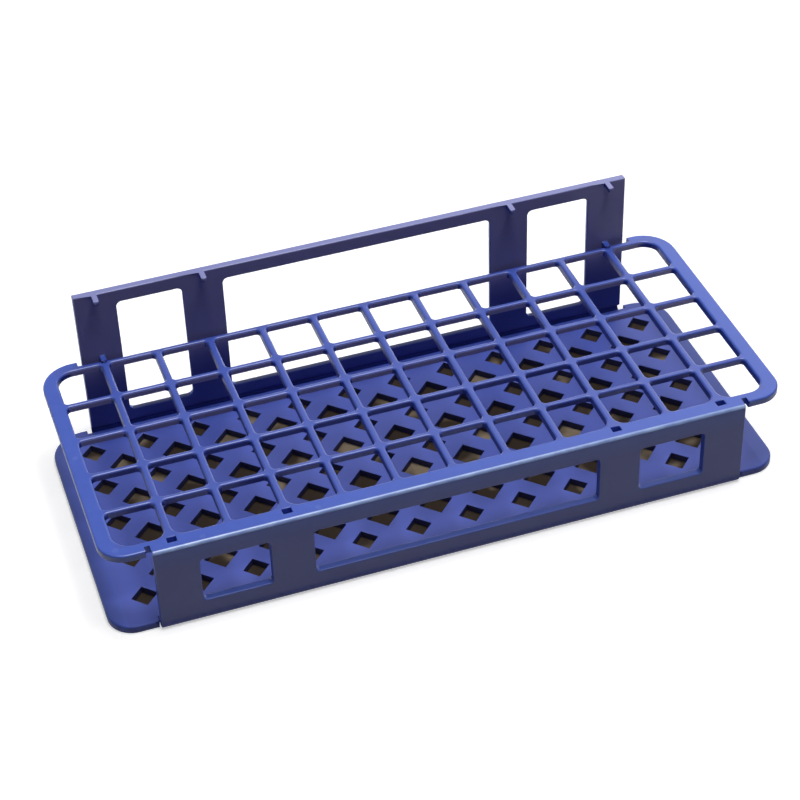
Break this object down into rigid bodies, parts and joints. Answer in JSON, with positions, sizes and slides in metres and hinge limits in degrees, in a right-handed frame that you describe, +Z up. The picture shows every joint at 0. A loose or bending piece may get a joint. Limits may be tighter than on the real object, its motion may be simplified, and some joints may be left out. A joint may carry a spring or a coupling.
{
  "type": "microcentrifuge tube rack",
  "caption": "Folded rectangular plastic rack: perforated base, grid shelf of rounded square cells for microtubes, windowed front panel and tall windowed rear panel.",
  "frame": {"origin": "bottom centre of the overall box, on the surface the rack stands on", "axes": "+X along the rack, +Y from the low front panel to the tall rear panel, +Z up"},
  "size_m": [0.168, 0.0754, 0.0436],
  "materials": {
    "rack": "satin"
  },
  "bodies": {
    "root": {"rack": "rack"}
  },
  "joints": []
}
